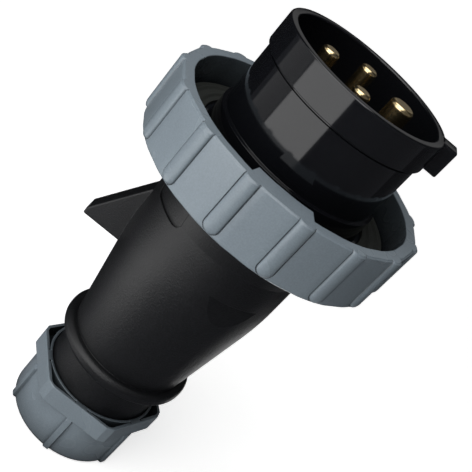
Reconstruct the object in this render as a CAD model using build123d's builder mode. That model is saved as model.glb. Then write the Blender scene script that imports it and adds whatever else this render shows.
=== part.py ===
from build123d import *
import math
import os

# Industrial plug for a 16 ampere, three phase and earth supply, watertight type.
# It stands on its cable end: +Z runs along the plug's axis towards the contact pins,
# +X points to the key and the earth pin, and the origin is the middle of the cable entry.
# All sizes are in millimetres.

# Lengths along the axis, from the cable end to the rim
nut_sleeve_length = 14.5
nut_flange_length = 6.0
neck_bare_length = 11.4
bead_length = 4.2
taper_length = 39.4
barrel_length = 23.4
housing_flange_thickness = 2.4
ring_slot_width = 2.6
shroud_flange_thickness = 3.6
collar_length = 34.0

nut_front_z = nut_sleeve_length + nut_flange_length
bead_rear_z = nut_front_z + neck_bare_length
taper_rear_z = bead_rear_z + bead_length
barrel_rear_z = taper_rear_z + taper_length
housing_flange_z = barrel_rear_z + barrel_length
housing_hub_z = housing_flange_z + housing_flange_thickness
split_z = housing_hub_z + ring_slot_width
flange_front_z = split_z + shroud_flange_thickness
rim_z = flange_front_z + collar_length

# Fits
running_gap = 0.3
sliding_gap = 0.15
snug_gap = 0.05
bore_overrun = 1.0
root_overlap = 1.0
same_size = 0.01

# Rear housing: barrel, taper, bead and threaded neck, each radius set from the one before it
barrel_radius = 23.5
housing_wall = 2.4
flare_rise = 1.7
flare_length = 12.0
flange_fillet = 3.0
taper_front_inset = 1.05
taper_curve_length = 13.0
taper_narrowing = 3.75
bead_height = 2.45
bead_round = 1.6
neck_step = 1.5
neck_end_z = 9.0
neck_wall = 4.2
gland_seat_depth = 17.0
gland_shoulder_width = 2.5
gland_cone_length = 4.0

flare_radius = barrel_radius + flare_rise
taper_front_radius = barrel_radius - taper_front_inset
taper_rear_radius = taper_front_radius - taper_narrowing
bead_radius = taper_rear_radius + bead_height
neck_radius = taper_rear_radius - neck_step
gland_seat_radius = neck_radius - neck_wall
gland_shoulder_radius = gland_seat_radius - gland_shoulder_width

# Joint between the housing and the shroud, whose spigot slides into the barrel
socket_wall = 1.35
spigot_wall = 1.9
spigot_length = 13.9
flange_radius = 34.3
housing_seal_pitch_radius = 28.2
housing_seal_width = 2.2
housing_seal_depth = 2.1

spigot_bore_radius = barrel_radius - socket_wall
spigot_radius = spigot_bore_radius - sliding_gap
carrier_bore_radius = spigot_radius - spigot_wall

# Shroud: the collar round the pins, its band, key and floor ledge
collar_radius = 24.05
collar_wall = 1.55
collar_floor_rise = 1.6
band_height = 0.9
band_length = 8.6
base_swell = 0.95
base_length = 6.8
base_slope_length = 0.8
rim_bevel = 0.5
key_width = 5.5
key_height = 3.85
key_length = 8.4
key_round = 0.4
ledge_thickness = 2.0
ledge_width = 1.5

band_radius = collar_radius + band_height
base_radius = collar_radius + base_swell
shroud_bore_radius = collar_radius - collar_wall
key_outer_radius = band_radius + key_height
ledge_bore_radius = carrier_bore_radius - ledge_width

# Face gasket, let into the front of the shroud flange
gasket_inner_margin = 1.6
gasket_outer_margin = 0.9
gasket_thickness = 2.2
gasket_groove_depth = 1.6
gasket_ridge_height = 0.5
gasket_ridge_half_width = 0.7
gasket_ridge_inset = 2.0

gasket_inner_radius = base_radius + gasket_inner_margin
gasket_outer_radius = flange_radius - gasket_outer_margin

# Bayonet ring
ring_length = 17.9
ring_front_rise = 8.9
ring_flange_gap = 0.54
ring_wall = 3.46
ring_bevel_depth = 0.7
ring_bevel_length = 0.7
ring_rear_round = 0.9
ring_rib_height = 1.1
ring_rib_count = 15
ring_rib_root_width = 4.6
ring_rib_root_overlap = 0.15
ring_rib_rear_bevel = 0.8
ring_lip_height = 2.84
hub_gap = 0.6
lug_height = 4.14
lug_angle = 30.0
lug_thickness = 3.2
lug_ramp = 0.8
lug_count = 2

ring_front_z = flange_front_z + ring_front_rise
ring_bore_radius = flange_radius + ring_flange_gap
ring_panel_radius = ring_bore_radius + ring_wall
ring_front_radius = ring_panel_radius - ring_bevel_depth
ring_rib_radius = ring_panel_radius + ring_rib_height
ring_lip_radius = ring_bore_radius - ring_lip_height
housing_hub_radius = ring_lip_radius - hub_gap
lug_radius = ring_bore_radius - lug_height

# Contact pins on a square pitch; the earth pin is thicker and longer
pitch_radius = 11.1
earth_radius = 3.5
phase_radius = 2.5
earth_tip_below_rim = 0.0
phase_tip_below_rim = 1.0
pin_tip_round = 1.1
pin_seat_step = 0.5
pin_seat_relief = 0.3
earth_terminal_radius = 4.5
phase_terminal_radius = 4.0
terminal_length = 11.8
wire_bore_radius = 1.9
wire_bore_depth = 9.0
terminal_screw_radius = 1.9
terminal_screw_rise = 5.6
terminal_screw_head_radius = 2.8
terminal_screw_head_height = 2.2
screw_slot_width = 0.8
screw_slot_depth = 0.9

# Pin carrier and the plate that holds the pins in it
carrier_disc_length = 7.2
tower_wall = 1.9
hub_radius = 6.5
boss_radius = 3.2
boss_pitch_radius = 12.5
boss_angles = (45, 225)
retainer_thickness = 2.0
retainer_radius = 16.2
retainer_wire_radius = 2.6
retainer_screw_radius = 1.4
retainer_screw_head_radius = 2.7
retainer_screw_head_height = 1.8
retainer_screw_length = 9.0
carrier_seal_width = 1.8
carrier_seal_depth = 1.9
carrier_seal_below_face = 4.0

# Grip fin on the side away from the key
fin_width = 7.0
fin_height = 10.9
fin_front_rise = 5.7
fin_tip_drop = 11.7
fin_tip_edge = 2.0
fin_round = 0.5

# Shallow recesses in the barrel
latch_recess_angle = 39.8
latch_recess_width = 15.2
latch_recess_rise = 9.2
latch_recess_depth = 0.6
latch_recess_round = 2.6
thumb_recess_angle = 59.0
thumb_recess_rise = 2.6
thumb_recess_length = 8.9
thumb_recess_depth = 1.35

# Gland nut, its slip washer, clamping cage and seal
nut_bore_wall = 1.8
nut_flat_wall = 2.0
nut_lip_wall = 1.0
nut_hex_wall = 1.1
hex_corner_cut = 1.6
nut_rear_round = 1.5
nut_pocket_depth = 4.4
nut_end_wall = 2.5
cable_entry_radius = 9.5
nut_rib_count = 6
nut_rib_width = 2.2
nut_rib_height = 0.8
nut_rib_bevel = 0.4
nut_rib_rear_rise = 0.4
washer_thickness = 1.5
washer_edge_gap = 0.8
washer_hole_margin = 0.4
cage_edge_inset = 0.8
cage_flange_thickness = 2.0
cage_finger_length = 5.8
cage_finger_seat_gap = 0.4
cage_hole_margin = 0.6
cage_slot_count = 8
cage_slot_width = 1.6
seal_wall = 4.5
seal_insert_wall = 3.0
seal_insert_collar = 0.9
gland_seal_bevel = 1.2

nut_bore_radius = neck_radius + sliding_gap + snug_gap
nut_sleeve_radius = nut_bore_radius + nut_bore_wall
hex_across_flats = 2 * (nut_bore_radius + nut_flat_wall)
washer_outer_radius = nut_bore_radius - washer_edge_gap
washer_inner_radius = cable_entry_radius + washer_hole_margin
cage_flange_radius = washer_outer_radius - cage_edge_inset
cage_finger_outer_radius = gland_seat_radius - cage_finger_seat_gap
cage_finger_inner_radius = cable_entry_radius + cage_hole_margin
seal_inner_radius = gland_seat_radius - seal_wall
seal_insert_inner_radius = seal_inner_radius - seal_insert_wall

os.makedirs("parts", exist_ok=True)

# Stations along the axis that follow from the sizes above
collar_face_z = split_z + collar_floor_rise
fin_front_z = barrel_rear_z + fin_front_rise
fin_tip_z = barrel_rear_z - fin_tip_drop
fin_rear_z = fin_tip_z - fin_tip_edge
latch_recess_rear_z = barrel_rear_z + latch_recess_rise
thumb_recess_step_z = barrel_rear_z + thumb_recess_rise
ledge_rear_z = collar_face_z - ledge_thickness
carrier_front_z = ledge_rear_z - snug_gap
terminal_front_z = carrier_front_z - carrier_disc_length
terminal_rear_z = terminal_front_z - terminal_length
carrier_radius = carrier_bore_radius - sliding_gap
spigot_rear_z = split_z - spigot_length
band_rear_z = rim_z - band_length
key_rear_z = rim_z - key_length
ring_rear_z = ring_front_z - ring_length
housing_seal_rear_z = split_z - housing_seal_depth
gasket_rear_z = flange_front_z - gasket_groove_depth
terminal_screw_z = terminal_rear_z + terminal_screw_rise
washer_rear_z = nut_end_wall + snug_gap
cage_rear_z = washer_rear_z + washer_thickness + snug_gap
finger_front_z = cage_rear_z + cage_flange_thickness + cage_finger_length
gland_seal_rear_z = finger_front_z + running_gap
gland_seat_z = neck_end_z + gland_seat_depth
gland_cone_z = gland_seat_z + housing_wall
gland_seal_front_z = gland_seat_z - snug_gap
phase_angles = (90, 180, 270)


def save(part, name):
    """Label a finished piece and write it to its own file."""
    part.label = name
    export_step(part, "parts/" + name + ".step")


def at_angle(radius, angle):
    """Point in plan at a radius and an angle from +X."""
    turn = math.radians(angle)
    return radius * math.cos(turn), radius * math.sin(turn)


# Shroud. One moulding: collar, band, key, flange, inner ledge and rear spigot.
with BuildPart() as shroud:
    with BuildSketch(Plane.XZ):
        with BuildLine():
            Polyline(
                (ledge_bore_radius, ledge_rear_z),
                (ledge_bore_radius, collar_face_z),
                (shroud_bore_radius, collar_face_z),
                (shroud_bore_radius, rim_z),
                (band_radius, rim_z),
                (band_radius, band_rear_z),
                (collar_radius, band_rear_z),
                (collar_radius, flange_front_z + base_length + base_slope_length),
                (base_radius, flange_front_z + base_length),
                (base_radius, flange_front_z),
                (flange_radius, flange_front_z),
                (flange_radius, split_z),
                (spigot_radius, split_z),
                (spigot_radius, spigot_rear_z),
                (carrier_bore_radius, spigot_rear_z),
                (carrier_bore_radius, ledge_rear_z),
                close=True,
            )
        make_face()
    revolve(axis=Axis.Z)
    rim_edges = shroud.edges().filter_by(GeomType.CIRCLE).group_by(Axis.Z)[-1]
    chamfer(rim_edges, rim_bevel)
    with BuildSketch(Plane.XY.offset(flange_front_z)):
        Circle(gasket_outer_radius + snug_gap)
        Circle(gasket_inner_radius - snug_gap, mode=Mode.SUBTRACT)
    extrude(amount=-gasket_groove_depth, mode=Mode.SUBTRACT)
    with BuildPart(mode=Mode.PRIVATE) as key:
        with BuildSketch(Plane.XY.offset(key_rear_z)):
            with Locations((key_outer_radius / 2, 0)):
                Rectangle(key_outer_radius, key_width)
            Circle(key_outer_radius, mode=Mode.INTERSECT)
        extrude(amount=key_length)
        key_corners = key.edges().filter_by(lambda e: e.center().X > band_radius)
        fillet(key_corners, key_round)
        with BuildSketch(Plane.XY.offset(key_rear_z)):
            Circle(shroud_bore_radius + rim_bevel)
        extrude(amount=key_length, mode=Mode.SUBTRACT)
    add(key.part)
save(shroud.part, "shroud")

# Face gasket. A flat rubber ring with two sealing ridges along its front.
with BuildPart() as face_gasket:
    gasket_width = gasket_outer_radius - gasket_inner_radius
    gasket_front_z = gasket_rear_z + gasket_thickness
    with BuildSketch(Plane.XZ):
        with Locations((gasket_inner_radius, gasket_rear_z)):
            Rectangle(gasket_width, gasket_thickness, align=(Align.MIN, Align.MIN))
        inner_ridge_radius = gasket_inner_radius + gasket_ridge_inset
        outer_ridge_radius = gasket_outer_radius - gasket_ridge_inset
        for ridge_radius in (inner_ridge_radius, outer_ridge_radius):
            with BuildLine():
                Polyline(
                    (ridge_radius - gasket_ridge_half_width, gasket_front_z),
                    (ridge_radius, gasket_front_z + gasket_ridge_height),
                    (ridge_radius + gasket_ridge_half_width, gasket_front_z),
                    close=True,
                )
            make_face()
    revolve(axis=Axis.Z)
save(face_gasket.part, "face_gasket")

# Bayonet ring. It turns on the lip that the two housing flanges hold between them.
lip_rear_z = housing_hub_z + running_gap
lip_front_z = split_z - running_gap
with BuildPart() as bayonet_ring:
    with BuildSketch(Plane.XZ):
        with BuildLine():
            Polyline(
                (ring_bore_radius, ring_rear_z),
                (ring_bore_radius, lip_rear_z),
                (ring_lip_radius, lip_rear_z),
                (ring_lip_radius, lip_front_z),
                (ring_bore_radius, lip_front_z),
                (ring_bore_radius, ring_front_z),
                (ring_front_radius, ring_front_z),
                (ring_panel_radius, ring_front_z - ring_bevel_length),
                (ring_panel_radius, ring_rear_z),
                close=True,
            )
        make_face()
    revolve(axis=Axis.Z)
    rear_edges = bayonet_ring.edges().filter_by(GeomType.CIRCLE).group_by(Axis.Z)[0]
    fillet(rear_edges.sort_by(SortBy.RADIUS)[-1], ring_rear_round)
    rib_start = 270 - 180 / ring_rib_count
    rib_foot_radius = ring_panel_radius - ring_rib_root_overlap
    rib_inner_radius = ring_bore_radius + root_overlap
    with BuildPart(mode=Mode.PRIVATE) as rib:
        with BuildSketch(Plane.XY.offset(ring_rear_z)):
            with BuildLine():
                rib_root = Line(
                    (rib_inner_radius, ring_rib_root_width / 2),
                    (rib_inner_radius, -ring_rib_root_width / 2),
                )
                Line(rib_root @ 0, (rib_foot_radius, ring_rib_root_width / 2))
                Line(rib_root @ 1, (rib_foot_radius, -ring_rib_root_width / 2))
                ThreePointArc(
                    (rib_foot_radius, ring_rib_root_width / 2),
                    (ring_rib_radius, 0),
                    (rib_foot_radius, -ring_rib_root_width / 2),
                )
            make_face()
        extrude(amount=ring_length)
        rear_arc = rib.edges().group_by(Axis.Z)[0].filter_by(GeomType.CIRCLE)
        chamfer(rear_arc, ring_rib_rear_bevel)
    for k in range(ring_rib_count):
        add(rib.part.rotate(Axis.Z, rib_start + k * 360 / ring_rib_count))
    for k in range(lug_count):
        middle = 270 - k * 360 / lug_count
        with BuildSketch(Plane.XY.offset(ring_front_z)):
            with BuildLine():
                inner = CenterArc((0, 0), lug_radius, middle - lug_angle / 2, lug_angle)
                outer = CenterArc((0, 0), rib_inner_radius, middle - lug_angle / 2, lug_angle)
                Line(inner @ 0, outer @ 0)
                Line(inner @ 1, outer @ 1)
            make_face()
        extrude(amount=-lug_thickness)
    lug_edges = bayonet_ring.edges().filter_by(
        lambda e: abs(e.center().Z - (ring_front_z - lug_thickness)) < same_size
        and e.geom_type == GeomType.CIRCLE
        and abs(e.radius - lug_radius) < same_size
    )
    chamfer(lug_edges, lug_ramp)
save(bayonet_ring.part, "bayonet_ring")


# Contact pins, each with a wire bore and a screw hole in its terminal end
def contact_pin(shank_radius, terminal_radius, tip_z, angle):
    """One turned pin: shank with a rounded tip, a slimmer seat, and a thicker drilled terminal."""
    centre = at_angle(pitch_radius, angle)
    shank_rear_z = collar_face_z + pin_seat_relief
    with BuildPart() as pin:
        with BuildSketch(Plane.XY.offset(terminal_rear_z)):
            with Locations(centre):
                Circle(terminal_radius)
        extrude(amount=terminal_length)
        with BuildSketch(Plane.XY.offset(terminal_front_z)):
            with Locations(centre):
                Circle(shank_radius - pin_seat_step)
        extrude(amount=shank_rear_z - terminal_front_z)
        with BuildSketch(Plane.XY.offset(shank_rear_z)):
            with Locations(centre):
                Circle(shank_radius)
        extrude(amount=tip_z - shank_rear_z)
        tip_edges = pin.edges().filter_by(GeomType.CIRCLE).group_by(Axis.Z)[-1]
        fillet(tip_edges, pin_tip_round)
        with BuildSketch(Plane.XY.offset(terminal_rear_z)):
            with Locations(centre):
                Circle(wire_bore_radius)
        extrude(amount=wire_bore_depth, mode=Mode.SUBTRACT)
        outward = Plane(
            origin=(*centre, terminal_screw_z),
            x_dir=(0, 0, 1),
            z_dir=(*at_angle(1, angle), 0),
        )
        with BuildSketch(outward):
            Circle(terminal_screw_radius + snug_gap)
        extrude(amount=terminal_radius + bore_overrun, mode=Mode.SUBTRACT)
    return pin.part


def terminal_screw(terminal_radius, angle):
    """One slotted clamp screw, set radially into a terminal."""
    seat = pitch_radius + terminal_radius + snug_gap
    tip = pitch_radius + wire_bore_radius
    out = (*at_angle(1, angle), 0)
    up = (0, 0, 1)
    with BuildPart() as screw:
        shank_plane = Plane(origin=(*at_angle(tip, angle), terminal_screw_z), x_dir=up, z_dir=out)
        head_plane = Plane(origin=(*at_angle(seat, angle), terminal_screw_z), x_dir=up, z_dir=out)
        with BuildSketch(shank_plane):
            Circle(terminal_screw_radius)
        extrude(amount=seat - tip)
        with BuildSketch(head_plane):
            Circle(terminal_screw_head_radius)
        extrude(amount=terminal_screw_head_height)
        with BuildSketch(head_plane.offset(terminal_screw_head_height)):
            Rectangle(3 * terminal_screw_head_radius, screw_slot_width)
        extrude(amount=-screw_slot_depth, mode=Mode.SUBTRACT)
    return screw.part


save(contact_pin(earth_radius, earth_terminal_radius, rim_z - earth_tip_below_rim, 0), "earth_pin")
save(terminal_screw(earth_terminal_radius, 0), "earth_terminal_screw")
for number, angle in enumerate(phase_angles, start=1):
    phase_tip_z = rim_z - phase_tip_below_rim
    save(contact_pin(phase_radius, phase_terminal_radius, phase_tip_z, angle), f"phase_pin_{number}")
phase_screws = [terminal_screw(phase_terminal_radius, angle) for angle in phase_angles]
save(Compound(children=phase_screws), "phase_terminal_screws")

# Pin carrier. The insulating insert: a disc that fills the collar, with a tower for each terminal.
contacts = [(0, earth_radius, earth_terminal_radius)]
contacts += [(angle, phase_radius, phase_terminal_radius) for angle in phase_angles]
with BuildPart() as pin_carrier:
    with BuildSketch(Plane.XY.offset(terminal_front_z)):
        Circle(carrier_radius)
    extrude(amount=carrier_disc_length)
    with BuildSketch(Plane.XY.offset(carrier_front_z)):
        Circle(ledge_bore_radius - sliding_gap)
    extrude(amount=collar_face_z - carrier_front_z)
    with BuildSketch(Plane.XY.offset(terminal_front_z)):
        Circle(hub_radius)
        for angle, shank, terminal in contacts:
            with Locations(at_angle(pitch_radius, angle)):
                Circle(terminal + tower_wall)
        for angle in boss_angles:
            with Locations(at_angle(boss_pitch_radius, angle)):
                Circle(boss_radius)
    extrude(amount=-terminal_length)
    for angle, shank, terminal in contacts:
        with BuildSketch(Plane.XY.offset(terminal_rear_z)):
            with Locations(at_angle(pitch_radius, angle)):
                Circle(terminal + snug_gap)
        extrude(amount=terminal_length + snug_gap, mode=Mode.SUBTRACT)
        with BuildSketch(Plane.XY.offset(terminal_front_z)):
            with Locations(at_angle(pitch_radius, angle)):
                Circle(shank + snug_gap - pin_seat_step)
        extrude(amount=collar_face_z - terminal_front_z + bore_overrun, mode=Mode.SUBTRACT)
        window = Plane(
            origin=(*at_angle(pitch_radius, angle), terminal_screw_z),
            x_dir=(0, 0, 1),
            z_dir=(*at_angle(1, angle), 0),
        )
        with BuildSketch(window):
            Circle(terminal_screw_head_radius + sliding_gap)
        extrude(amount=terminal + tower_wall + bore_overrun, mode=Mode.SUBTRACT)
    for angle in boss_angles:
        with BuildSketch(Plane.XY.offset(terminal_rear_z)):
            with Locations(at_angle(boss_pitch_radius, angle)):
                Circle(retainer_screw_radius + snug_gap)
        extrude(amount=retainer_screw_length, mode=Mode.SUBTRACT)
    carrier_seal_front_z = carrier_front_z - carrier_seal_below_face
    seal_floor_radius = carrier_radius - carrier_seal_depth
    with BuildSketch(Plane.XY.offset(carrier_seal_front_z)):
        Circle(carrier_radius + bore_overrun)
        Circle(seal_floor_radius, mode=Mode.SUBTRACT)
    extrude(amount=-carrier_seal_width - snug_gap, mode=Mode.SUBTRACT)
save(pin_carrier.part, "pin_carrier")

with BuildPart() as carrier_seal:
    with BuildSketch(Plane.XY.offset(carrier_seal_front_z - snug_gap)):
        Circle(carrier_bore_radius - snug_gap)
        Circle(seal_floor_radius + snug_gap, mode=Mode.SUBTRACT)
    extrude(amount=snug_gap - carrier_seal_width)
save(carrier_seal.part, "carrier_seal")

# Pin retainer. The plate that closes the towers behind the terminals.
retainer_front_z = terminal_rear_z - snug_gap
with BuildPart() as pin_retainer:
    with BuildSketch(Plane.XY.offset(retainer_front_z)):
        Circle(retainer_radius)
        for angle, shank, terminal in contacts:
            with Locations(at_angle(pitch_radius, angle)):
                Circle(retainer_wire_radius, mode=Mode.SUBTRACT)
        for angle in boss_angles:
            with Locations(at_angle(boss_pitch_radius, angle)):
                Circle(retainer_screw_radius + sliding_gap, mode=Mode.SUBTRACT)
    extrude(amount=-retainer_thickness)
save(pin_retainer.part, "pin_retainer")


def retainer_screw(angle):
    """One cross-slotted screw through the retainer plate into a carrier boss."""
    head_front_z = retainer_front_z - retainer_thickness - snug_gap
    with BuildPart() as screw:
        with BuildSketch(Plane.XY.offset(head_front_z - retainer_screw_head_height)):
            with Locations(at_angle(boss_pitch_radius, angle)):
                Circle(retainer_screw_head_radius)
        extrude(amount=retainer_screw_head_height)
        with BuildSketch(Plane.XY.offset(head_front_z)):
            with Locations(at_angle(boss_pitch_radius, angle)):
                Circle(retainer_screw_radius)
        extrude(amount=retainer_thickness + retainer_screw_length - bore_overrun)
        with BuildSketch(Plane.XY.offset(head_front_z - retainer_screw_head_height)):
            with Locations(at_angle(boss_pitch_radius, angle)):
                Rectangle(retainer_screw_head_radius, screw_slot_width)
                Rectangle(screw_slot_width, retainer_screw_head_radius)
        extrude(amount=screw_slot_depth, mode=Mode.SUBTRACT)
    return screw.part


save(Compound(children=[retainer_screw(angle) for angle in boss_angles]), "retainer_screws")

# Rear housing. One hollow moulding: flange, barrel, taper, bead, neck, fin and recesses.
cavity_radius = barrel_radius - housing_wall
spigot_seat_z = spigot_rear_z - running_gap
taper_curve_z = barrel_rear_z - taper_curve_length
taper_slope = (taper_front_radius - taper_rear_radius) / (taper_curve_z - taper_rear_z)
with BuildPart() as rear_housing:
    with BuildSketch(Plane.XZ):
        with BuildLine():
            Polyline(
                (barrel_radius, housing_flange_z - flare_length),
                (flare_radius, housing_flange_z),
                (flange_radius, housing_flange_z),
                (flange_radius, housing_hub_z),
                (housing_hub_radius, housing_hub_z),
                (housing_hub_radius, split_z),
                (spigot_bore_radius, split_z),
                (spigot_bore_radius, spigot_seat_z),
                (cavity_radius, spigot_seat_z),
                (cavity_radius, barrel_rear_z),
            )
            Spline(
                (cavity_radius, barrel_rear_z),
                (taper_front_radius - housing_wall, taper_curve_z),
                tangents=((0, -1), (-taper_slope, -1)),
            )
            Polyline(
                (taper_front_radius - housing_wall, taper_curve_z),
                (taper_rear_radius - housing_wall, taper_rear_z),
                (gland_seat_radius, gland_cone_z + gland_cone_length),
                (gland_shoulder_radius, gland_cone_z),
                (gland_shoulder_radius, gland_seat_z),
                (gland_seat_radius, gland_seat_z),
                (gland_seat_radius, neck_end_z),
                (neck_radius, neck_end_z),
                (neck_radius, bead_rear_z),
                (bead_radius, bead_rear_z),
                (bead_radius, taper_rear_z),
                (taper_rear_radius, taper_rear_z),
                (taper_front_radius, taper_curve_z),
            )
            Spline(
                (taper_front_radius, taper_curve_z),
                (barrel_radius, barrel_rear_z),
                tangents=((taper_slope, 1), (0, 1)),
            )
            Line((barrel_radius, barrel_rear_z), (barrel_radius, housing_flange_z - flare_length))
        make_face()
    revolve(axis=Axis.Z)
    round_edges = rear_housing.edges().filter_by(GeomType.CIRCLE)
    fillet(round_edges.filter_by(lambda e: abs(e.radius - bead_radius) < same_size), bead_round)
    flare_edge = rear_housing.edges().filter_by(GeomType.CIRCLE).filter_by(
        lambda e: abs(e.radius - flare_radius) < same_size
    )
    fillet(flare_edge, flange_fillet)
    # Grip fin: a ramp that ends in a square shoulder
    fin_root_x = -cavity_radius - root_overlap
    with BuildPart(mode=Mode.PRIVATE) as fin:
        with BuildSketch(Plane.XZ.offset(-fin_width / 2)):
            with BuildLine():
                Polyline(
                    (fin_root_x, fin_front_z),
                    (-barrel_radius, fin_front_z),
                    (-barrel_radius - fin_height, fin_tip_z),
                    (-barrel_radius - fin_height, fin_rear_z),
                    (fin_root_x, fin_rear_z),
                    close=True,
                )
            make_face()
        extrude(amount=fin_width)
        fillet(fin.edges().filter_by(lambda e: e.center().X < -barrel_radius - root_overlap), fin_round)
    add(fin.part)
    # Latch recesses, one each side of the fin, with rounded corners and a floor that follows the barrel
    latch_recess_length = housing_flange_z - latch_recess_rear_z
    for side in (-1, 1):
        angle = 180 + side * latch_recess_angle
        outward = Plane(
            origin=(*at_angle(barrel_radius / 2, angle), latch_recess_rear_z),
            x_dir=(*at_angle(1, angle + 90), 0),
            z_dir=(*at_angle(1, angle), 0),
        )
        with BuildPart(mode=Mode.PRIVATE) as latch_cut:
            with BuildSketch(outward):
                with Locations((0, latch_recess_length / 2)):
                    RectangleRounded(latch_recess_width, latch_recess_length, latch_recess_round)
            extrude(amount=barrel_radius)
            with BuildSketch(Plane.XY.offset(latch_recess_rear_z)):
                Circle(barrel_radius - latch_recess_depth)
            extrude(amount=latch_recess_length, mode=Mode.SUBTRACT)
        add(latch_cut.part, mode=Mode.SUBTRACT)
    # Thumb recesses: a wedge cut that starts at a step and runs out along the barrel
    slope = thumb_recess_depth / thumb_recess_length
    for side in (-1, 1):
        angle = side * thumb_recess_angle
        radial = Plane(
            origin=(0, 0, thumb_recess_step_z),
            x_dir=(*at_angle(1, angle), 0),
            z_dir=(*at_angle(1, angle - 90), 0),
        )
        floor_radius = barrel_radius - thumb_recess_depth
        wedge_reach = 2 * thumb_recess_length
        with BuildSketch(radial):
            with BuildLine():
                Polyline(
                    (floor_radius, 0),
                    (floor_radius + slope * wedge_reach, -wedge_reach),
                    (barrel_radius + housing_wall, -wedge_reach),
                    (barrel_radius + housing_wall, 0),
                    close=True,
                )
            make_face()
        extrude(amount=barrel_radius / 2, both=True, mode=Mode.SUBTRACT)
    # Groove for the seal between the two halves
    seal_half_width = housing_seal_width / 2 + snug_gap
    with BuildSketch(Plane.XY.offset(split_z)):
        Circle(housing_seal_pitch_radius + seal_half_width)
        Circle(housing_seal_pitch_radius - seal_half_width, mode=Mode.SUBTRACT)
    extrude(amount=-housing_seal_depth - snug_gap, mode=Mode.SUBTRACT)
save(rear_housing.part, "rear_housing")

with BuildPart() as housing_seal:
    with BuildSketch(Plane.XY.offset(housing_seal_rear_z)):
        Circle(housing_seal_pitch_radius + housing_seal_width / 2)
        Circle(housing_seal_pitch_radius - housing_seal_width / 2, mode=Mode.SUBTRACT)
    extrude(amount=housing_seal_depth - snug_gap)
save(housing_seal.part, "housing_seal")

# Gland seal: a rubber sleeve in the neck, and the ring inside it that suits thin cables
with BuildPart() as gland_seal:
    with BuildSketch(Plane.XY.offset(gland_seal_rear_z)):
        Circle(gland_seat_radius - snug_gap)
        Circle(seal_inner_radius, mode=Mode.SUBTRACT)
    extrude(amount=gland_seal_front_z - gland_seal_rear_z)
    seal_rear_edges = gland_seal.edges().filter_by(GeomType.CIRCLE).group_by(Axis.Z)[0]
    chamfer(seal_rear_edges.sort_by(SortBy.RADIUS)[-1], gland_seal_bevel)
save(gland_seal.part, "gland_seal")

with BuildPart() as seal_insert:
    with BuildSketch(Plane.XY.offset(gland_seal_rear_z)):
        Circle(seal_inner_radius - snug_gap)
        Circle(seal_insert_inner_radius, mode=Mode.SUBTRACT)
    extrude(amount=gland_seal_front_z - gland_seal_rear_z)
    with BuildSketch(Plane.XY.offset(gland_seal_rear_z)):
        Circle(seal_inner_radius + seal_insert_collar)
        Circle(seal_insert_inner_radius, mode=Mode.SUBTRACT)
    extrude(amount=-running_gap + snug_gap)
save(seal_insert.part, "seal_insert")

# Slip washer and clamping cage: they move along with the nut and don't turn
with BuildPart() as slip_washer:
    with BuildSketch(Plane.XY.offset(washer_rear_z)):
        Circle(washer_outer_radius)
        Circle(washer_inner_radius, mode=Mode.SUBTRACT)
    extrude(amount=washer_thickness)
save(slip_washer.part, "slip_washer")

with BuildPart() as gland_cage:
    with BuildSketch(Plane.XY.offset(cage_rear_z)):
        Circle(cage_flange_radius)
        Circle(cage_finger_inner_radius, mode=Mode.SUBTRACT)
    extrude(amount=cage_flange_thickness)
    with BuildSketch(Plane.XY.offset(cage_rear_z + cage_flange_thickness)):
        Circle(cage_finger_outer_radius)
        Circle(cage_finger_inner_radius, mode=Mode.SUBTRACT)
        with PolarLocations(cage_finger_outer_radius, cage_slot_count // 2, angular_range=180):
            Rectangle(4 * cage_finger_outer_radius, cage_slot_width, mode=Mode.SUBTRACT)
    extrude(amount=cage_finger_length)
save(gland_cage.part, "gland_cage")

# Gland nut. A hexagonal flange with corner pockets, and a ribbed sleeve down to the cable end.
with BuildPart() as gland_nut:
    with BuildSketch():
        Circle(nut_sleeve_radius)
    extrude(amount=nut_front_z)
    with BuildSketch(Plane.XY.offset(nut_sleeve_length)):
        hexagon = RegularPolygon(hex_across_flats / 2, 6, major_radius=False)
        chamfer(hexagon.vertices(), hex_corner_cut)
    extrude(amount=nut_flange_length)
    with BuildSketch(Plane.XY.offset(nut_front_z)):
        RegularPolygon(hex_across_flats / 2 - nut_hex_wall, 6, major_radius=False)
        Circle(nut_bore_radius + nut_lip_wall, mode=Mode.SUBTRACT)
    extrude(amount=-nut_pocket_depth, mode=Mode.SUBTRACT)
    fillet(gland_nut.edges().filter_by(GeomType.CIRCLE).group_by(Axis.Z)[0], nut_rear_round)
    with BuildPart(mode=Mode.PRIVATE) as nut_rib:
        with BuildSketch(Plane.XY.offset(nut_rib_rear_rise)):
            with Locations((nut_sleeve_radius, 0)):
                Rectangle(2 * nut_rib_height, nut_rib_width)
        extrude(amount=nut_sleeve_length - nut_rib_rear_rise)
        rib_ridge_radius = nut_sleeve_radius + nut_rib_height
        rib_ridges = nut_rib.edges().filter_by(lambda e: e.center().X > rib_ridge_radius - same_size)
        chamfer(rib_ridges, nut_rib_bevel)
    for k in range(nut_rib_count):
        add(nut_rib.part.rotate(Axis.Z, 30 + k * 360 / nut_rib_count))
    with BuildSketch(Plane.XY.offset(nut_end_wall)):
        Circle(nut_bore_radius)
    extrude(amount=nut_front_z, mode=Mode.SUBTRACT)
    with BuildSketch():
        Circle(cable_entry_radius)
    extrude(amount=nut_end_wall, mode=Mode.SUBTRACT)
save(gland_nut.part, "gland_nut")
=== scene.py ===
# %% [markdown]
# # An industrial plug
#
# This lesson dresses a watertight plug for three phases and earth. It has a glossy black collar
# with brass pins in it, a blue-grey bayonet ring, a matt black housing and a blue-grey gland nut.
# An engineering model gives every piece its place and its size, in one frame with its origin at
# the cable entry, +Z towards the pins and +X towards the key. The pieces could all be modelled
# again here, but the model is exact, so Blender adds only what it lacks: soft edges, finishes,
# lamps and a camera. The first cell loads the model.

# %% The engineering model
import math

import bmesh
import bpy
from mathutils import Matrix, Vector


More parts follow.
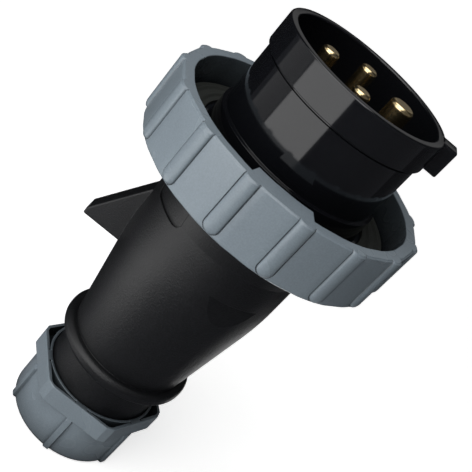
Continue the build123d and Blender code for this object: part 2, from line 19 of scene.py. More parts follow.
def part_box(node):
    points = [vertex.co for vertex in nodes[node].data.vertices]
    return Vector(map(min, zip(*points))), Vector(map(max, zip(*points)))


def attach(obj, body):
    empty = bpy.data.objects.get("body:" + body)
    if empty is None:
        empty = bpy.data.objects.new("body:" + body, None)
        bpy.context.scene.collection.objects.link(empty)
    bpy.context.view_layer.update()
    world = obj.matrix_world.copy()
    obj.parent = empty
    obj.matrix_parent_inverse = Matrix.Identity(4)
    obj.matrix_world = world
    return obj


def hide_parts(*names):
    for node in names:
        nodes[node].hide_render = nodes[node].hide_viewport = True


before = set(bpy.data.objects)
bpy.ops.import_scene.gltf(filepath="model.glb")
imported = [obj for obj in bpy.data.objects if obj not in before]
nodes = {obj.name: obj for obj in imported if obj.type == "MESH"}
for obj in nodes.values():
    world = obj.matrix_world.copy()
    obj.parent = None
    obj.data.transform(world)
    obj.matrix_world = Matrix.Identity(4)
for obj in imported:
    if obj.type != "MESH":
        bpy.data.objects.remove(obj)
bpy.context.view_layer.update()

# %% [markdown]
# ## Units and places
#
# Blender works in metres and a maker thinks in millimetres, so the sizes of pieces are written in
# mm and multiplied by MM. Where a piece begins and ends is read from the model's boxes, which is
# safer than writing it twice. What stands round the plug is placed by its distance from the axis
# and an azimuth, counted from +X.

# %% Millimetres, boxes and azimuths
MM = 0.001
ALONG_X, ALONG_Z = 0, 2


def ends_mm(node_name, axis):
    """Where an engineering piece begins and ends along an axis, in mm."""
    return [round(corner[axis] / MM, 2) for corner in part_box(node_name)]


def around(distance, azimuth):
    """The point at a distance from the axis and an azimuth in degrees."""
    angle = math.radians(azimuth)
    return distance * math.cos(angle), distance * math.sin(angle)


print("the rim stands", ends_mm("shroud", ALONG_Z)[1], "mm above the cable entry")

# %% [markdown]
# ## Colours
#
# Colours are written as sRGB hex values, the way a paint card or an image editor gives them.
# Blender's shaders reckon in linear light, so one function turns the first into the second, by
# the curve of the sRGB standard. A grey that only stands for a factor needs no such curve.

# %% From hex values to linear light
def linear(hex_value):
    """An sRGB hex colour as linear red, green, blue and alpha."""
    parts = [int(hex_value[i:i + 2], 16) / 255 for i in (1, 3, 5)]
    return [c / 12.92 if c <= 0.04045 else ((c + 0.055) / 1.055) ** 2.4 for c in parts] + [1.0]


def grey(value):
    """A colour that only carries a number."""
    return (value, value, value, 1.0)


print("mid grey #808080 in linear light:", round(linear("#808080")[0], 3))

# %% [markdown]
# ## Shader nodes
#
# A material in Blender is a tree of nodes. It could be wired by hand in the shader editor. In a
# script, one small function adds a node, sets and links its sockets and gives a colour ramp its
# stops, which keeps each material down to a few readable lines.

# %% A node and an empty material
# The mix node has inputs and outputs that share a name, so they go by number.
MIX_FACTOR, NUMBER_A, NUMBER_B, COLOUR_A, COLOUR_B = 0, 2, 3, 6, 7
MIXED_NUMBER, MIXED_COLOUR = 0, 2
MULTIPLY_COLOURS = {"data_type": "RGBA", "blend_type": "MULTIPLY"}


def add_node(tree, kind, sockets=(), stops=(), **settings):
    """Adds a node. sockets holds (input, value or output socket), stops holds (place, colour)."""
    node = tree.nodes.new(kind)
    for key, value in settings.items():
        setattr(node, key, value)
    for key, value in sockets:
        if isinstance(value, bpy.types.NodeSocket):
            tree.links.new(value, node.inputs[key])
        else:
            node.inputs[key].default_value = value
    if stops:
        elements = node.color_ramp.elements
        while len(elements) < len(stops):
            elements.new(0.5)
        for element, (place, colour) in zip(elements, stops):
            element.position = place
            element.color = colour
    return node


def new_material(name):
    """An empty material, with its node tree and its shader."""
    material = bpy.data.materials.new(name)
    material.use_nodes = True
    return material, material.node_tree, material.node_tree.nodes["Principled BSDF"]


print("kinds of shader node to choose from:", sum(k.startswith("ShaderNode") for k in dir(bpy.types)))

# %% [markdown]
# ## Moulded plastic and rubber
#
# The plug's body is polyamide, injection moulded, and only the mould's wall differs: polished for
# the collar, spark-eroded for the housing, ground for the grey pieces. One function makes all of
# them, because they share an IOR of 1.53 and the same kinds of irregularity: a slow waviness from
# shrinkage, and a fine grain from the mould. The acetal and the rubber lie so close to that IOR
# that they share it.
#
# Two effects could be painted by hand, and are worked out by nodes so that they follow the form.
# A bevel in the shader rounds the edges for the light, so that they catch it as a moulded edge
# does. A look at how open each place is darkens the base colour in the hollows between ribs: this
# is painted shade, for the little light that comes back out of them.

# %% A moulded polymer
POLYAMIDE_IOR = 1.53
NOISE_LOW, NOISE_HIGH = 0.3, 0.7            # nearly all of a noise lies between these
FLECK_LOW, FLECK_HIGH = 0.36, 0.66          # where the grain turns from the one colour to the other
SHRINKAGE_MM, SHRINKAGE_SHADE = 14, 0.94
# How far the painted shade in the hollows looks for walls, and with how many rays.
HOLLOW_MM, HOLLOW_SAMPLES = 14, 8
HOLLOW_DEEP, HOLLOW_OPEN = 0.3, 0.88        # openness of a deep crease and of a free face
EDGE_SAMPLES = 6


def paint_shade_in_hollows(tree, colour, darkest):
    """Painted shade: a colour that darkens where walls stand close together."""
    openness = add_node(tree, "ShaderNodeAmbientOcclusion", [("Distance", HOLLOW_MM * MM)],
                        samples=HOLLOW_SAMPLES)
    shade = add_node(tree, "ShaderNodeValToRGB", [("Fac", openness.outputs["AO"])],
                     stops=[(HOLLOW_DEEP, grey(darkest)), (HOLLOW_OPEN, grey(1.0))])
    return add_node(tree, "ShaderNodeMix", [
        (MIX_FACTOR, 1.0), (COLOUR_A, colour), (COLOUR_B, shade.outputs["Color"])],
        **MULTIPLY_COLOURS).outputs[MIXED_COLOUR]


def moulded_polymer(name, colour, fleck_colour, roughness, grain_mm, grain_depth_mm, wave_depth_mm,
                    painted_hollow_shade=1.0, edge_mm=0.3):
    """A moulded plastic or rubber. roughness is a range, and the painted shade in the hollows is 1 for none.
    """
    material, tree, shader = new_material(name)
    place = add_node(tree, "ShaderNodeTexCoord").outputs["Object"]
    grain = add_node(tree, "ShaderNodeTexNoise", [
        ("Vector", place), ("Scale", 1 / (grain_mm * MM)), ("Detail", 3.0), ("Roughness", 0.6)])
    wave = add_node(tree, "ShaderNodeTexNoise", [
        ("Vector", place), ("Scale", 1 / (SHRINKAGE_MM * MM)), ("Detail", 2.0), ("Roughness", 0.5)])
    fleck = add_node(tree, "ShaderNodeValToRGB", [("Fac", grain.outputs["Fac"])],
                     stops=[(FLECK_LOW, linear(colour)), (FLECK_HIGH, linear(fleck_colour))])
    shade = add_node(tree, "ShaderNodeValToRGB", [("Fac", wave.outputs["Fac"])],
                     stops=[(NOISE_LOW, grey(SHRINKAGE_SHADE)), (NOISE_HIGH, grey(1.0))])
    shaded = add_node(tree, "ShaderNodeMix", [
        (MIX_FACTOR, 1.0), (COLOUR_A, fleck.outputs["Color"]), (COLOUR_B, shade.outputs["Color"])],
        **MULTIPLY_COLOURS).outputs[MIXED_COLOUR]
    # Painted shade in the hollows: the base colour darkens where walls stand close together.
    if painted_hollow_shade < 1.0:
        shaded = paint_shade_in_hollows(tree, shaded, painted_hollow_shade)
    tree.links.new(shaded, shader.inputs["Base Color"])
    smoothest, roughest = roughness
    worn = add_node(tree, "ShaderNodeMapRange", [
        ("Value", wave.outputs["Fac"]), ("From Min", NOISE_LOW), ("From Max", NOISE_HIGH),
        ("To Min", smoothest), ("To Max", roughest)])
    tree.links.new(worn.outputs["Result"], shader.inputs["Roughness"])
    edge = add_node(tree, "ShaderNodeBevel", [("Radius", edge_mm * MM)], samples=EDGE_SAMPLES)
    fine = add_node(tree, "ShaderNodeBump", [
        ("Strength", 1.0), ("Distance", grain_depth_mm * MM), ("Height", grain.outputs["Fac"]),
        ("Normal", edge.outputs["Normal"])])
    slow = add_node(tree, "ShaderNodeBump", [
        ("Strength", 1.0), ("Distance", wave_depth_mm * MM), ("Height", wave.outputs["Fac"]),
        ("Normal", fine.outputs["Normal"])])
    tree.links.new(slow.outputs["Normal"], shader.inputs["Normal"])
    shader.inputs["IOR"].default_value = POLYAMIDE_IOR
    return material


straight_on = ((POLYAMIDE_IOR - 1) / (POLYAMIDE_IOR + 1)) ** 2
print("share of light that polyamide mirrors straight on:", round(straight_on, 3))

# %% [markdown]
# The collar comes from a polished mould. It could be a plain black mirror, but real mouldings are
# never quite flat, so a waviness of a few thousandths of a millimetre bends the lamps in it.

# %% The collar's plastic
# To the eye: a near mirror, black where it mirrors cards and grey where it mirrors lamps.
gloss_black = moulded_polymer(
    "gloss black polyamide", "#0D0E11", "#101114", roughness=(0.07, 0.10), grain_mm=0.6,
    grain_depth_mm=0.0004, wave_depth_mm=0.004, edge_mm=0.1)
print("made:", gloss_black.name)

# %% [markdown]
# The housing comes from a spark-eroded mould, which gives a grain of about 0.3 mm. That is too
# fine for a small picture, so it is drawn at 0.5 mm and deeper than it is. It could be an image
# texture. A noise needs no unwrapping, and it has no seams.

# %% The housing's plastic
# To the eye: a deep matt black with a soft sheen, broken up by a faint sparkle.
matt_black = moulded_polymer(
    "spark-textured black polyamide", "#040506", "#131417", roughness=(0.42, 0.48), grain_mm=0.5,
    grain_depth_mm=0.11, wave_depth_mm=0.003)
print("made:", matt_black.name)

# %% [markdown]
# The ring and the nut are dyed blue-grey and come from a ground mould. Their hollows get painted
# shade, much darker than their faces, because the creases at the ribs and the pockets of the nut
# are what makes them read as grips.

# %% The plastic of ring and nut
# To the eye: a satin blue-grey with soft highlights, and painted shade as dark lines in the creases.
blue_grey = moulded_polymer(
    "satin blue-grey polyamide", "#7A858D", "#808B93", roughness=(0.25, 0.28), grain_mm=0.45,
    grain_depth_mm=0.0008, wave_depth_mm=0.0005, painted_hollow_shade=0.12)
print("made:", blue_grey.name)

# %% [markdown]
# The pieces inside are seen little or not at all: the carrier at the bottom of the collar, and
# the clamping cage and the slip washer in the nut. They get the same care, because someone may
# take the plug apart.

# %% The plastics inside
# Carrier and retainer, to the eye: a dry black that keeps the bottom of the collar dark.
carrier_black = moulded_polymer(
    "heat-resistant black polyamide", "#111214", "#1A1B1D", roughness=(0.4, 0.48), grain_mm=0.4,
    grain_depth_mm=0.008, wave_depth_mm=0.004)
# Clamping cage, to the eye: the pale grey of plastic without dye.
natural_grey = moulded_polymer(
    "natural grey polyamide", "#9AA0A2", "#A6ABAD", roughness=(0.36, 0.44), grain_mm=0.45,
    grain_depth_mm=0.004, wave_depth_mm=0.004)
# Slip washer, to the eye: a smooth and slightly waxy white.
acetal_white = moulded_polymer(
    "smooth white acetal", "#DDDDD8", "#E4E4E0", roughness=(0.2, 0.28), grain_mm=0.5,
    grain_depth_mm=0.001, wave_depth_mm=0.003)
print("made:", [m.name for m in (carrier_black, natural_grey, acetal_white)])

# %% [markdown]
# The seals are nitrile rubber, pressed in a mould. Rubber is filled with soot and takes no
# polish, so a high roughness does most of the work.

# %% The rubbers
# Seals, to the eye: a dull black without a highlight.
seal_rubber = moulded_polymer(
    "black nitrile rubber", "#151515", "#202020", roughness=(0.6, 0.7), grain_mm=0.5,
    grain_depth_mm=0.01, wave_depth_mm=0.006)
# Face gasket, to the eye: the same with a trace of olive, deep in the gap round the collar.
gasket_rubber = moulded_polymer(
    "olive-black nitrile rubber", "#171A16", "#20241F", roughness=(0.75, 0.85), grain_mm=0.5,
    grain_depth_mm=0.01, wave_depth_mm=0.006)
print("made:", seal_rubber.name, "and", gasket_rubber.name)

# %% [markdown]
# ## Brass and zinc
#
# The pins are turned from brass bar. The lathe leaves fine rings round the pin, about 0.08 mm
# apart, which no small picture shows, so they are drawn about 1.3 mm apart. Brass keeps Blender's
# default IOR: a metal takes its tint from its base colour. The screws are steel with a thin coat
# of zinc. A wave texture draws the rings, because it repeats evenly along the axis, as a lathe's
# feed does.

# %% Turned metals
WAVE_RADIANS = 20                           # radians a metre in a wave texture of scale 1
TARNISH_MM = 5
TARNISH_DEEP, TARNISH_NONE = 0.3, 0.6


def turned_metal(name, colour, dark_colour, roughness, ring_pitch_mm, ring_depth_mm):
    """Metal turned on a lathe along Z, with fine rings and a trace of tarnish."""
    material, tree, shader = new_material(name)
    place = add_node(tree, "ShaderNodeTexCoord").outputs["Object"]
    rings_per_metre = 1 / (ring_pitch_mm * MM)
    rings = add_node(tree, "ShaderNodeTexWave", [
        ("Vector", place), ("Scale", 2 * math.pi * rings_per_metre / WAVE_RADIANS),
        ("Distortion", 1.5), ("Detail", 2.0), ("Detail Scale", 1.5)],
        wave_type="BANDS", bands_direction="Z")
    patina = add_node(tree, "ShaderNodeTexNoise", [
        ("Vector", place), ("Scale", 1 / (TARNISH_MM * MM)), ("Detail", 4.0), ("Roughness", 0.6)])
    tint = add_node(tree, "ShaderNodeValToRGB", [("Fac", patina.outputs["Fac"])],
                    stops=[(TARNISH_DEEP, linear(dark_colour)), (TARNISH_NONE, linear(colour))])
    tree.links.new(tint.outputs["Color"], shader.inputs["Base Color"])
    brightest, dullest = roughness
    worn = add_node(tree, "ShaderNodeMapRange", [
        ("Value", patina.outputs["Fac"]), ("From Min", NOISE_LOW), ("From Max", NOISE_HIGH),
        ("To Min", dullest), ("To Max", brightest)])
    tree.links.new(worn.outputs["Result"], shader.inputs["Roughness"])
    bump = add_node(tree, "ShaderNodeBump", [
        ("Strength", 1.0), ("Distance", ring_depth_mm * MM), ("Height", rings.outputs["Fac"])])
    tree.links.new(bump.outputs["Normal"], shader.inputs["Normal"])
    shader.inputs["Metallic"].default_value = 1.0
    return material


# Pins, to the eye: a warm yellow glint on the tips over dark golden sides.
brass = turned_metal("turned brass", "#F2DBAA", "#E0C48B", roughness=(0.19, 0.26),
                     ring_pitch_mm=1.2566, ring_depth_mm=0.012)
# Screws, to the eye: a cool and slightly cloudy grey.
zinc = turned_metal("zinc-plated steel", "#B9BABC", "#A2A3A6", roughness=(0.28, 0.36),
                    ring_pitch_mm=1.885, ring_depth_mm=0.002)
print("made:", brass.name, "and", zinc.name)

# %% [markdown]
# ## The camera
#
# The photograph looks down on the plug at 26 degrees, from close by, and the picture is turned
# so that the plug lies across it from lower left to upper right. The camera stands where the
# circles of the plug come out as the ellipses of the photograph. It could be aimed by a
# constraint, but that keeps the picture level, so its three axes are worked out from the two
# angles of the view and the turn of the picture.

# %% Camera
LENS_MM, SENSOR_MM = 68.05, 36.0
CAMERA_PLACE_MM = (-23.10, -217.19, 191.71)
VIEW_AZIMUTH, VIEW_ELEVATION, PICTURE_TURN = -96.6002, 26.1305, -42.32
NEAREST_SEEN, FURTHEST_SEEN = 0.01, 20.0

camera_data = bpy.data.cameras.new("photo camera")
camera_data.sensor_width = SENSOR_MM
camera_data.lens = LENS_MM
camera_data.clip_start = NEAREST_SEEN
camera_data.clip_end = FURTHEST_SEEN
camera = bpy.data.objects.new("photo camera", camera_data)
bpy.context.scene.collection.objects.link(camera)

elevation = math.radians(VIEW_ELEVATION)
turn = math.radians(PICTURE_TURN)
backward = Vector((*around(math.cos(elevation), VIEW_AZIMUTH), math.sin(elevation)))
level_right = Vector((*around(1, VIEW_AZIMUTH + 90), 0))
level_up = backward.cross(level_right)
picture_right = math.cos(turn) * level_right - math.sin(turn) * level_up
picture_up = math.sin(turn) * level_right + math.cos(turn) * level_up
axes = Matrix((picture_right, picture_up, backward)).transposed().to_4x4()
camera.matrix_world = Matrix.Translation(Vector(CAMERA_PLACE_MM) * MM) @ axes
bpy.context.scene.camera = camera
print("camera at", CAMERA_PLACE_MM, "mm")

# %% [markdown]
# ## Background
#
# The background is plain white, and more light would only bleach the plug. So the sky shows white
# to the camera and in reflections, and gives everything else a dim soft light. The stage from here
# on is measured in metres.

# %% The sky
SKY_STRENGTH = 0.08
FIRST, SECOND = 0, 1


def seen_directly(tree):
    """1 for rays from the camera, in reflections and through clear things, 0 for soft light."""
    path = add_node(tree, "ShaderNodeLightPath")
    seen = path.outputs["Is Camera Ray"]
    for kind in ("Is Glossy Ray", "Is Transmission Ray"):
        seen = add_node(tree, "ShaderNodeMath", [(FIRST, seen), (SECOND, path.outputs[kind])],
                        operation="MAXIMUM").outputs["Value"]
    return seen


world = bpy.data.worlds.new("studio")
bpy.context.scene.world = world
world.use_nodes = True
tree = world.node_tree
tree.nodes.clear()
soft = add_node(tree, "ShaderNodeBackground", [("Color", linear("#F4F6F8")), ("Strength", SKY_STRENGTH)])
white = add_node(tree, "ShaderNodeBackground", [("Color", grey(1.0)), ("Strength", 1.0)])
sky = add_node(tree, "ShaderNodeMixShader", [
    ("Fac", seen_directly(tree)), (1, soft.outputs["Background"]), (2, white.outputs["Background"])])
add_node(tree, "ShaderNodeOutputWorld", [("Surface", sky.outputs["Shader"])])
print("sky strength for soft light:", SKY_STRENGTH)

# %% [markdown]
# ## The floor
#
# The plug stands on a sheet of pale paper. Matt paper alone would come out grey, so it glows a
# little for the camera and in reflections, and still takes the soft shadow of the plug. To the
# camera it glows less near the plug than further out: the shadow then shows at the foot of the
# nut, and the background fades into plain white.

# %% White paper
PAPER_FIBRE_MM = 2.5                        # the length of a fibre, its width is too fine to show
GLOW_MIRRORED = 0.93
GLOW_BY_DISTANCE = [(0.15, 0.68), (0.45, 0.86), (1.0, 0.96)]    # metres from the axis, strength

paper = bpy.data.materials.new("white paper")
paper.use_nodes = True
tree = paper.node_tree
tree.nodes.clear()
fibre = add_node(tree, "ShaderNodeTexNoise", [("Scale", 1 / (PAPER_FIBRE_MM * MM)), ("Detail", 4.0)])
paper_tint = add_node(tree, "ShaderNodeValToRGB", [("Fac", fibre.outputs["Fac"])],
                      stops=[(NOISE_LOW, linear("#F3F3F2")), (NOISE_HIGH, linear("#F8F8F7"))])
matt = add_node(tree, "ShaderNodeBsdfDiffuse", [("Color", paper_tint.outputs["Color"])])
path = add_node(tree, "ShaderNodeLightPath")
place = add_node(tree, "ShaderNodeTexCoord").outputs["Object"]
distance = add_node(tree, "ShaderNodeVectorMath", [(FIRST, place)], operation="LENGTH")
to_camera = add_node(tree, "ShaderNodeValToRGB", [("Fac", distance.outputs["Value"])],
                     stops=[(metres, grey(strength)) for metres, strength in GLOW_BY_DISTANCE])
mirrored = add_node(tree, "ShaderNodeMath", [(FIRST, seen_directly(tree)), (SECOND, GLOW_MIRRORED)],
                    operation="MULTIPLY")
strength = add_node(tree, "ShaderNodeMix", [
    (MIX_FACTOR, path.outputs["Is Camera Ray"]), (NUMBER_A, mirrored.outputs["Value"]),
    (NUMBER_B, to_camera.outputs["Color"])])
glow = add_node(tree, "ShaderNodeEmission", [
    ("Color", grey(1.0)), ("Strength", strength.outputs[MIXED_NUMBER])])
both = add_node(tree, "ShaderNodeAddShader", [
    (FIRST, matt.outputs["BSDF"]), (SECOND, glow.outputs["Emission"])])
add_node(tree, "ShaderNodeOutputMaterial", [("Surface", both.outputs["Shader"])])
print("made:", paper.name)

# %% [markdown]
# The floor is one round disc, wide enough that its edge lies far out of the picture.

# %% The floor's disc
FLOOR_RADIUS, FLOOR_SIDES = 3.0, 64

shape = bmesh.new()
bmesh.ops.create_circle(shape, cap_ends=True, segments=FLOOR_SIDES, radius=FLOOR_RADIUS)
floor_mesh = bpy.data.meshes.new("floor")
shape.to_mesh(floor_mesh)
shape.free()
floor_mesh.materials.append(paper)
floor = bpy.data.objects.new("floor", floor_mesh)
bpy.context.scene.collection.objects.link(floor)
print("floor radius", FLOOR_RADIUS, "m")

# %% [markdown]
# ## Lamps
#
# A glossy black cylinder shows nothing of its own: the eye reads its form from the lamps that
# mirror in it. The photograph shows one wide softbox on the left with sharp upright edges, so the
# main lamp is a panel that stands on the floor there, with a dim panel beside it. Behind the plug
# another dim panel brings out the rim and the pins, and a softbox overhead lights the ring. Each
# lamp's brightness is given as the radiance that the eye sees, and its power follows from its
# area, so that a lamp can grow without getting brighter.

# %% Lamps
STANDING_DISTANCE, STANDING_HEIGHTS = 0.30, (0.004, 0.36)
BACK_DISTANCE, BACK_HEIGHTS = 0.33, (0.21, 0.43)
OVERHEAD_SIZE, OVERHEAD_PLACE = (0.36, 0.42), (-0.10, -0.10, 0.46)


def upright(distance, azimuths, heights):
    """Width, height and matrix of an upright panel between two azimuths, that faces the axis."""
    a, b = [Vector((*around(distance, azimuth), 0)) for azimuth in azimuths]
    low, high = heights
    along = (b - a).normalized()
    away = along.cross(Vector((0, 0, 1)))
    if away.dot(a + b) < 0:
        away.negate()
    facing = Matrix((along, away.cross(along), away)).transposed().to_4x4()
    middle = (a + b) / 2 + Vector((0, 0, (low + high) / 2))
    return (b - a).length, high - low, Matrix.Translation(middle) @ facing


def area_lamp(name, radiance, width, height, stand):
    """A rectangular lamp of a given radiance, placed by a matrix. The camera doesn't see it."""
    data = bpy.data.lights.new(name, "AREA")
    data.shape = "RECTANGLE"
    data.size, data.size_y = width, height
    data.energy = radiance * math.pi * width * height
    lamp = bpy.data.objects.new(name, data)
    bpy.context.scene.collection.objects.link(lamp)
    lamp.matrix_world = stand
    lamp.visible_camera = False
    print(name, "power", round(data.energy, 3), "W")


area_lamp("left softbox", 2.0, *upright(STANDING_DISTANCE, (208, 268), STANDING_HEIGHTS))
area_lamp("dim side panel", 0.34, *upright(STANDING_DISTANCE, (174, 206), STANDING_HEIGHTS))
area_lamp("dim back panel", 0.17, *upright(BACK_DISTANCE, (62, 104), BACK_HEIGHTS))
area_lamp("overhead softbox", 2.2, *OVERHEAD_SIZE, Matrix.Translation(OVERHEAD_PLACE))

# %% [markdown]
# ## Dark cards
#
# Photographers set dark cards round a glossy black thing, out of the picture, so that it mirrors
# the cards and not the white room. Here the cards only act on reflections: they cast no shadow and
# take no soft light away. Their material is uncoated cardboard in three greys, so that each side
# of the collar can be made as dark as the photograph shows it.

# %% Cardboard in three greys
CARD_NAP_MM = 1.11                          # coarser than a real nap, which is too fine to show


def cardboard(name, dark, light):
    """Uncoated cardboard with a faint nap. To the eye it is dull, with no highlight at all."""
    material, tree, shader = new_material(name)
    nap = add_node(tree, "ShaderNodeTexNoise", [("Scale", 1 / (CARD_NAP_MM * MM)), ("Detail", 2.0)])
    tint = add_node(tree, "ShaderNodeValToRGB", [("Fac", nap.outputs["Fac"])],
                    stops=[(NOISE_LOW, linear(dark)), (NOISE_HIGH, linear(light))])
    tree.links.new(tint.outputs["Color"], shader.inputs["Base Color"])
    shader.inputs["Roughness"].default_value = 1.0
    shader.inputs["Specular IOR Level"].default_value = 0.0
    return material


charcoal_card = cardboard("charcoal cardboard", "#74757B", "#7E7F85")
slate_card = cardboard("slate cardboard", "#47484C", "#505155")
black_card = cardboard("black cardboard", "#202022", "#28282A")
print("made:", [m.name for m in (charcoal_card, slate_card, black_card)])

# %% [markdown]
# The cards stand as a round wall with a floor and a roof. The card on the floor leaves white paper
# bare in two places: the one at the back right draws the bright rim down the side of the housing,
# and the one at the front left gives the housing its soft sheen. A small card at the foot of the
# plug keeps that bare paper from bleaching the nut's edge.

# %% The cards
CARD_RADIUS, CARD_HEIGHT, CARD_LIFT = 0.36, 0.5, 0.0006
CARD_STEP = 5                               # degrees
ROOF_INNER_RADIUS = 0.001
FLOOR_CARD_INNER_RADIUS = 0.0188            # just inside the nut's outline
BARE_BACK, BARE_BACK_RADIUS = (20, 110), 0.13
BARE_FRONT, BARE_FRONT_RADIUS = (188, 238), 0.21
FOOT_CARD, FOOT_CARD_RADIUS = (185, 245), 0.065


def card(name, finish, lower, upper):
    """A card between two rows of points. It shows only in reflections."""
    shape = bmesh.new()
    lower, upper = [[shape.verts.new(point) for point in row] for row in (lower, upper)]
    for k in range(len(lower) - 1):
        shape.faces.new((lower[k], lower[k + 1], upper[k + 1], upper[k]))
    mesh = bpy.data.meshes.new(name)
    shape.to_mesh(mesh)
    shape.free()
    mesh.materials.append(finish)
    piece = bpy.data.objects.new(name, mesh)
    bpy.context.scene.collection.objects.link(piece)
    piece.visible_camera = False
    piece.visible_diffuse = False
    piece.visible_shadow = False
    print(name, "in", finish.name)


def floor_card_edge(azimuth):
    """Distance from the axis at which the floor card begins: further out where paper stays bare."""
    if BARE_BACK[0] < azimuth < BARE_BACK[1]:
        return BARE_BACK_RADIUS
    return BARE_FRONT_RADIUS if BARE_FRONT[0] < azimuth < BARE_FRONT[1] else FLOOR_CARD_INNER_RADIUS


def arc(first, last, height, radius_at):
    """Points round the axis from one azimuth to another, at a radius that may change on the way."""
    return [(*around(radius_at(turn % 360), turn), height) for turn in range(first, last + 1, CARD_STEP)]


def surround(label, finish, first, last):
    """Wall, floor and roof cards from one azimuth to another."""
    foot = arc(first, last, 0.0, lambda turn: CARD_RADIUS)
    top = arc(first, last, CARD_HEIGHT, lambda turn: CARD_RADIUS)
    card("card_wall_" + label, finish, foot, top)
    card("card_floor_" + label, finish, arc(first, last, CARD_LIFT, floor_card_edge),
         arc(first, last, CARD_LIFT, lambda turn: CARD_RADIUS))
    card("card_roof_" + label, finish, arc(first, last, CARD_HEIGHT, lambda turn: ROOF_INNER_RADIUS), top)


surround("front", charcoal_card, 165, 375)
card("card_floor_foot", charcoal_card, arc(*FOOT_CARD, CARD_LIFT, lambda turn: FLOOR_CARD_INNER_RADIUS),
     arc(*FOOT_CARD, CARD_LIFT, lambda turn: FOOT_CARD_RADIUS))
surround("right", slate_card, 15, 60)
surround("back", black_card, 60, 165)

# %% [markdown]
# ## Rounded loops
#
# Every large piece of the plug is made round one axis. A lathe turns one cross-section about
# that axis. Here the cross-section is a closed loop of points, each a radius and a height in mm.
# A mould has no razor-sharp edges, and a small radius is what makes an edge catch the light. It
# could come from a bevel modifier, but that treats all edges alike, so a loop is written as
# corners with a radius each, and one function rounds them.

# %% Rounded loops
CORNER_STEPS = 4
MOST_OF_A_SIDE = 0.48                       # share of a side that one rounding may take
TINY = 1e-6


def rounded(corners):
    """A closed loop of (radius, height) points from corners (radius, height, rounding), in mm."""
    loop = []
    for k, (x, z, rounding) in enumerate(corners):
        here = Vector((x, z))
        back = Vector(corners[k - 1][:2]) - here
        ahead = Vector(corners[(k + 1) % len(corners)][:2]) - here
        if rounding == 0 or back.length < TINY or ahead.length < TINY:
            loop.extend([(x, z)] * (CORNER_STEPS + 1 if rounding else 1))
            continue
        half = back.angle(ahead) / 2
        reach = min(rounding / math.tan(half), MOST_OF_A_SIDE * back.length, MOST_OF_A_SIDE * ahead.length)
        start, end = here + back.normalized() * reach, here + ahead.normalized() * reach
        centre = here + (back.normalized() + ahead.normalized()).normalized() * reach / math.cos(half)
        sweep = (start - centre).angle_signed(end - centre)
        spoke = start - centre
        for step in range(CORNER_STEPS + 1):
            angle = sweep * step / CORNER_STEPS
            loop.append((centre.x + spoke.x * math.cos(angle) + spoke.y * math.sin(angle),
                         centre.y - spoke.x * math.sin(angle) + spoke.y * math.cos(angle)))
    return loop


print("a square with soft corners has", len(rounded([(0, 0, 1), (9, 0, 1), (9, 9, 1), (0, 9, 1)])), "points")

# %% [markdown]
# ## Pieces as turned loops
#
# The loop may change on the way round, which also gives ribs, lugs and a hexagon: for each azimuth
# a function gives the loop, and neighbouring loops are joined with faces. Booleans could cut the
# same forms, but they leave ragged faces that mirror badly. This way every edge lies where it is
# wanted.
#
# A finished piece then rides on a body of the engineering model, stands for one of its nodes, and
# takes the finish that the node has there. A modifier lets flat faces keep their own normal, so
# that only the rounded edges shade round.

# %% Turning and finishing a piece
WELD_MM = 0.0005
CREASE_DEGREES = 32
FLAT_FACE_WEIGHT = 100


def turned(shape, azimuths, loop_at):
    """Adds a closed tube round Z: a loop for each azimuth, and faces between neighbouring loops."""
    columns = []
    for azimuth in azimuths:
        ray_x, ray_y = around(MM, azimuth)
        columns.append([shape.verts.new((radius * ray_x, radius * ray_y, height * MM))
                        for radius, height in loop_at(azimuth)])
    for k, column in enumerate(columns):
        following = columns[(k + 1) % len(columns)]
        for i in range(len(column)):
            j = (i + 1) % len(column)
            shape.faces.new((column[i], column[j], following[j], following[i]))


def finish_piece(name, shape, finish, body, node_name):
    """Turns a bmesh into a piece that rides on a body and stands for an engineering node."""
    bmesh.ops.remove_doubles(shape, verts=shape.verts, dist=WELD_MM * MM)
    bmesh.ops.dissolve_degenerate(shape, edges=shape.edges, dist=WELD_MM * MM)
    bmesh.ops.recalc_face_normals(shape, faces=shape.faces)
    mesh = bpy.data.meshes.new(name)
    shape.to_mesh(mesh)
    shape.free()
    mesh.shade_smooth()
    mesh.set_sharp_from_angle(angle=math.radians(CREASE_DEGREES))
    mesh.materials.append(finish)
    piece = bpy.data.objects.new(name, mesh)
    bpy.context.scene.collection.objects.link(piece)
    even = piece.modifiers.new("flat faces keep their normal", "WEIGHTED_NORMAL")
    even.mode = "FACE_AREA"
    even.weight = FLAT_FACE_WEIGHT
    even.keep_sharp = True
    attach(piece, body)
    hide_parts(node_name)
    print(name, "faces:", len(mesh.polygons), "size mm:", [round(v / MM, 1) for v in piece.dimensions])


print("faces are welded within", WELD_MM, "mm and creased above", CREASE_DEGREES, "degrees")

# %% [markdown]
# ## The shroud
#
# The front half of the body is one moulding: the collar round the pins with a thicker band at
# its rim, the flange with its gasket groove, and the spigot that slides into the rear half. Its
# sizes are those of the engineering model. It is turned from one loop, because nothing on it but
# the key changes on the way round. The band ends in a fine groove, which draws the black line
# round the collar, and the collar's swollen base ends in a short ledge that catches the light.

# %% The shroud's loop
SPLIT_HEIGHT, FLANGE_FRONT = 103.9, 107.5
COLLAR_RADIUS, COLLAR_WALL, COLLAR_FLOOR_RISE = 24.05, 1.55, 1.6
BAND_RISE, BAND_LENGTH = 0.9, 8.6
BAND_GROOVE_DEPTH, BAND_GROOVE_FLOOR, BAND_GROOVE_WIDTH = 0.4, 0.65, 0.8
BASE_SWELL, BASE_LENGTH, BASE_SLOPE = 0.95, 6.95, 0.3
LEDGE_BORE, LEDGE_THICKNESS = 18.6, 2.0
SPIGOT_RADIUS, SPIGOT_BORE, SPIGOT_LENGTH = 22.0, 20.1, 13.9
GASKET_GROOVE_INNER, GASKET_GROOVE_OUTER, GASKET_GROOVE_DEPTH = 26.55, 33.45, 1.6

